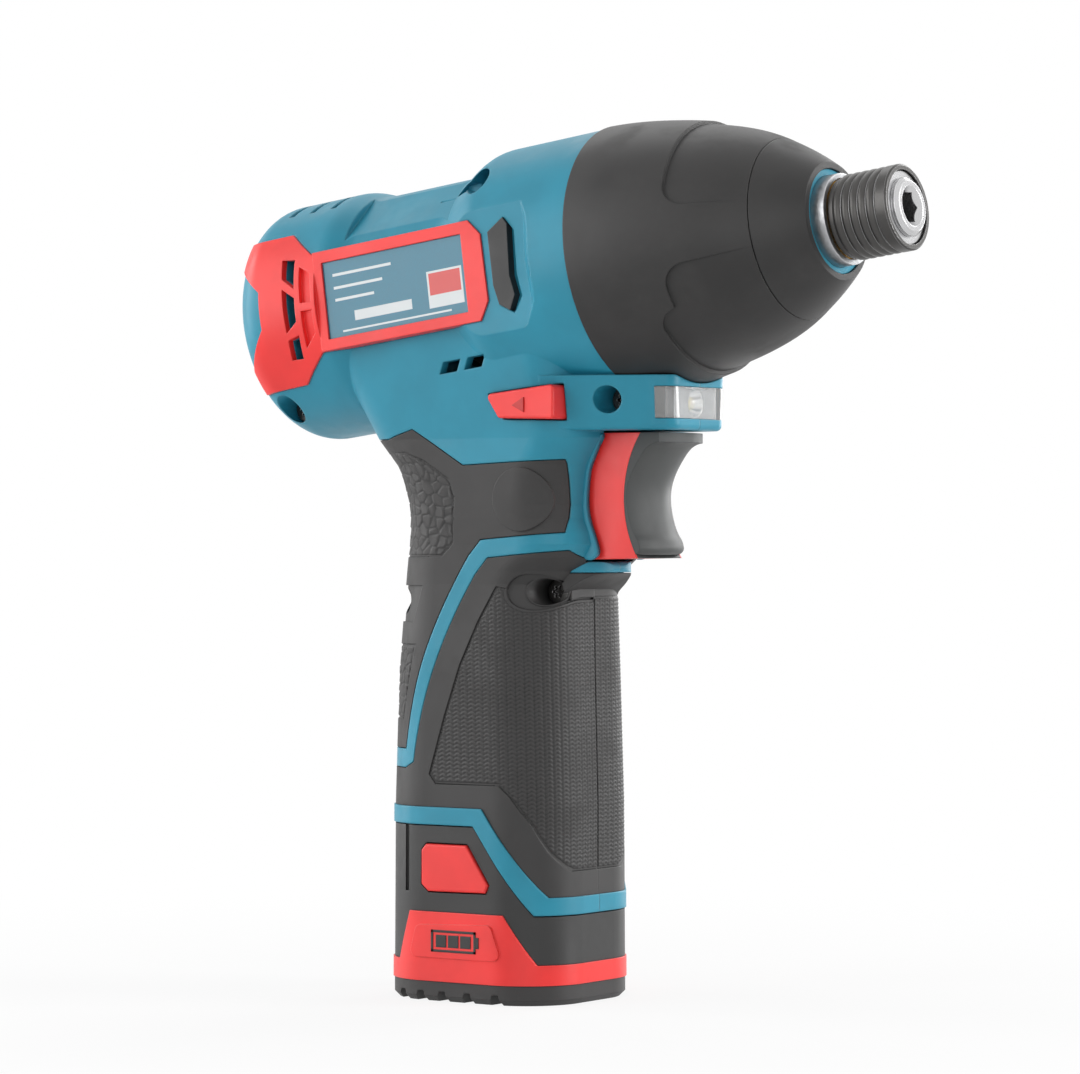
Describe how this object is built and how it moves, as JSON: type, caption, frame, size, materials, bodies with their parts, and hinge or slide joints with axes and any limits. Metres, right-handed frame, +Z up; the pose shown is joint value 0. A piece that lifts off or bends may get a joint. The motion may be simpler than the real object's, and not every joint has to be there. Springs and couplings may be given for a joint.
{
  "type": "cordless screwdriver",
  "caption": "pistol-grip cordless screwdriver with an impact mechanism, a hex quick-release chuck under a rubber boot, and a stick battery that slides into the handle",
  "frame": {"origin": "middle of the sole of the battery foot, on which the tool stands", "axes": "+Z up, +X towards the chuck, +Y to the tool's left"},
  "size_m": [0.1707, 0.0618, 0.1994],
  "materials": {
    "teal_plastic": "fine-grained moulded plastic",
    "red_plastic": "smooth moulded plastic",
    "grip_rubber": "matt overmoulded rubber with a textured field",
    "boot_rubber": "matt moulded rubber",
    "plate_foil": "bare printed foil",
    "grey_plastic": "moulded dark grey plastic",
    "black_plastic": "moulded glass-filled plastic",
    "clear_plastic": "clear moulded lens",
    "board": "white solder mask with a light chip",
    "cast_aluminium": "die-cast, nose tube machined",
    "bright_steel": "ground steel",
    "dark_steel": "black oxide on steel",
    "magnet": "sintered ferrite and carbon",
    "lamination": "steel laminations with lacquered windings",
    "brass": "copper alloy",
    "cell_wrap": "cells in a plastic wrap, mean density near aluminium"
  },
  "bodies": {
    "housing": {"right_housing": "teal_plastic", "left_housing": "teal_plastic", "right_front_grip": "grip_rubber", "left_front_grip": "grip_rubber", "right_rear_grip": "grip_rubber", "left_rear_grip": "grip_rubber", "right_side_trim": "red_plastic", "left_side_trim": "red_plastic", "right_plate": "plate_foil", "left_plate": "plate_foil", "right_side_insert": "grey_plastic", "left_side_insert": "grey_plastic", "hammer_case": "cast_aluminium", "case_boot": "boot_rubber", "nose_boot": "boot_rubber", "nose_seal": "teal_plastic", "anvil_bush": "brass", "gear_plate": "black_plastic", "ring_gear": "dark_steel", "motor_can": "dark_steel", "motor_magnets": "magnet", "motor_end_bell": "black_plastic", "motor_brushes": "magnet", "motor_bearings": "bright_steel", "spindle_bearing": "bright_steel", "switch_body": "black_plastic", "led_lens": "clear_plastic", "led_board": "board", "terminal_block": "black_plastic", "terminal_blades": "brass", "housing_screws": "dark_steel"},
    "anvil": {"anvil": "bright_steel", "bit_ball": "bright_steel", "sleeve_clip": "bright_steel", "sleeve_spring": "bright_steel"},
    "sleeve": {"chuck_sleeve": "dark_steel"},
    "spindle": {"spindle": "bright_steel", "planet_pins": "bright_steel", "cam_balls": "bright_steel", "hammer_spring": "dark_steel"},
    "hammer": {"hammer": "dark_steel"},
    "planet_1": {"planet_gear_1": "dark_steel"},
    "planet_2": {"planet_gear_2": "dark_steel"},
    "planet_3": {"planet_gear_3": "dark_steel"},
    "rotor": {"motor_shaft": "bright_steel", "armature": "lamination", "commutator": "brass", "cooling_fan": "black_plastic", "sun_pinion": "dark_steel"},
    "trigger": {"trigger_shell": "red_plastic", "trigger_pad": "grey_plastic", "trigger_spring": "bright_steel"},
    "selector": {"direction_selector": "red_plastic"},
    "battery": {"battery_shell": "grey_plastic", "battery_skirt": "red_plastic", "battery_foot": "grip_rubber", "battery_cells": "cell_wrap", "battery_terminals": "brass"},
    "right_latch": {"right_latch_button": "red_plastic"},
    "left_latch": {"left_latch_button": "red_plastic"}
  },
  "joints": [
    {"name": "anvil_spin", "type": "hinge", "parent": "housing", "child": "anvil", "pos_m": [0.0084, 0, 0.1647], "axis": [0.9917, 0, 0.1288], "continuous": true},
    {"name": "spindle_spin", "type": "hinge", "parent": "housing", "child": "spindle", "pos_m": [0.0084, 0, 0.1647], "axis": [0.9917, 0, 0.1288], "continuous": true},
    {"name": "rotor_spin", "type": "hinge", "parent": "housing", "child": "rotor", "pos_m": [0.0084, 0, 0.1647], "axis": [0.9917, 0, 0.1288], "continuous": true},
    {"name": "planet_1_spin", "type": "hinge", "parent": "spindle", "child": "planet_1", "pos_m": [0.02057, 0, 0.17581], "axis": [0.9917, 0, 0.1288], "continuous": true},
    {"name": "planet_2_spin", "type": "hinge", "parent": "spindle", "child": "planet_2", "pos_m": [0.0224, -0.00818, 0.16175], "axis": [0.9917, 0, 0.1288], "continuous": true},
    {"name": "planet_3_spin", "type": "hinge", "parent": "spindle", "child": "planet_3", "pos_m": [0.0224, 0.00818, 0.16175], "axis": [0.9917, 0, 0.1288], "continuous": true},
    {"name": "hammer_retract", "type": "slide", "parent": "spindle", "child": "hammer", "axis": [-0.9917, 0, -0.1288], "range_m": [0, 0.008], "stiffness_N_per_m": 3000, "springref_m": -0.003, "deforming": ["hammer_spring"]},
    {"name": "sleeve_slide", "type": "slide", "parent": "anvil", "child": "sleeve", "axis": [0.9917, 0, 0.1288], "range_m": [0, 0.0032], "stiffness_N_per_m": 800, "springref_m": -0.002, "deforming": ["sleeve_spring"]},
    {"name": "trigger_pull", "type": "slide", "parent": "housing", "child": "trigger", "axis": [-1, 0, 0], "range_m": [0, 0.006], "stiffness_N_per_m": 700, "springref_m": -0.003, "deforming": ["trigger_spring"]},
    {"name": "direction_shift", "type": "slide", "parent": "housing", "child": "selector", "axis": [0, 1, 0], "range_m": [-0.0016, 0.0016]},
    {"name": "battery_slide", "type": "slide", "parent": "housing", "child": "battery", "axis": [0, 0, -1], "range_m": [0, 0.085]},
    {"name": "right_latch_press", "type": "slide", "parent": "battery", "child": "right_latch", "axis": [0, 1, 0], "range_m": [0, 0.0016], "stiffness_N_per_m": 1500, "springref_m": -0.0008},
    {"name": "left_latch_press", "type": "slide", "parent": "battery", "child": "left_latch", "axis": [0, -1, 0], "range_m": [0, 0.0016], "stiffness_N_per_m": 1500, "springref_m": -0.0008}
  ],
  "couplings": [
    {"joint": "spindle_spin", "follows": "anvil_spin", "ratio": 1},
    {"joint": "rotor_spin", "follows": "anvil_spin", "ratio": 6},
    {"joint": "planet_1_spin", "follows": "anvil_spin", "ratio": -2.5},
    {"joint": "planet_2_spin", "follows": "anvil_spin", "ratio": -2.5},
    {"joint": "planet_3_spin", "follows": "anvil_spin", "ratio": -2.5}
  ]
}
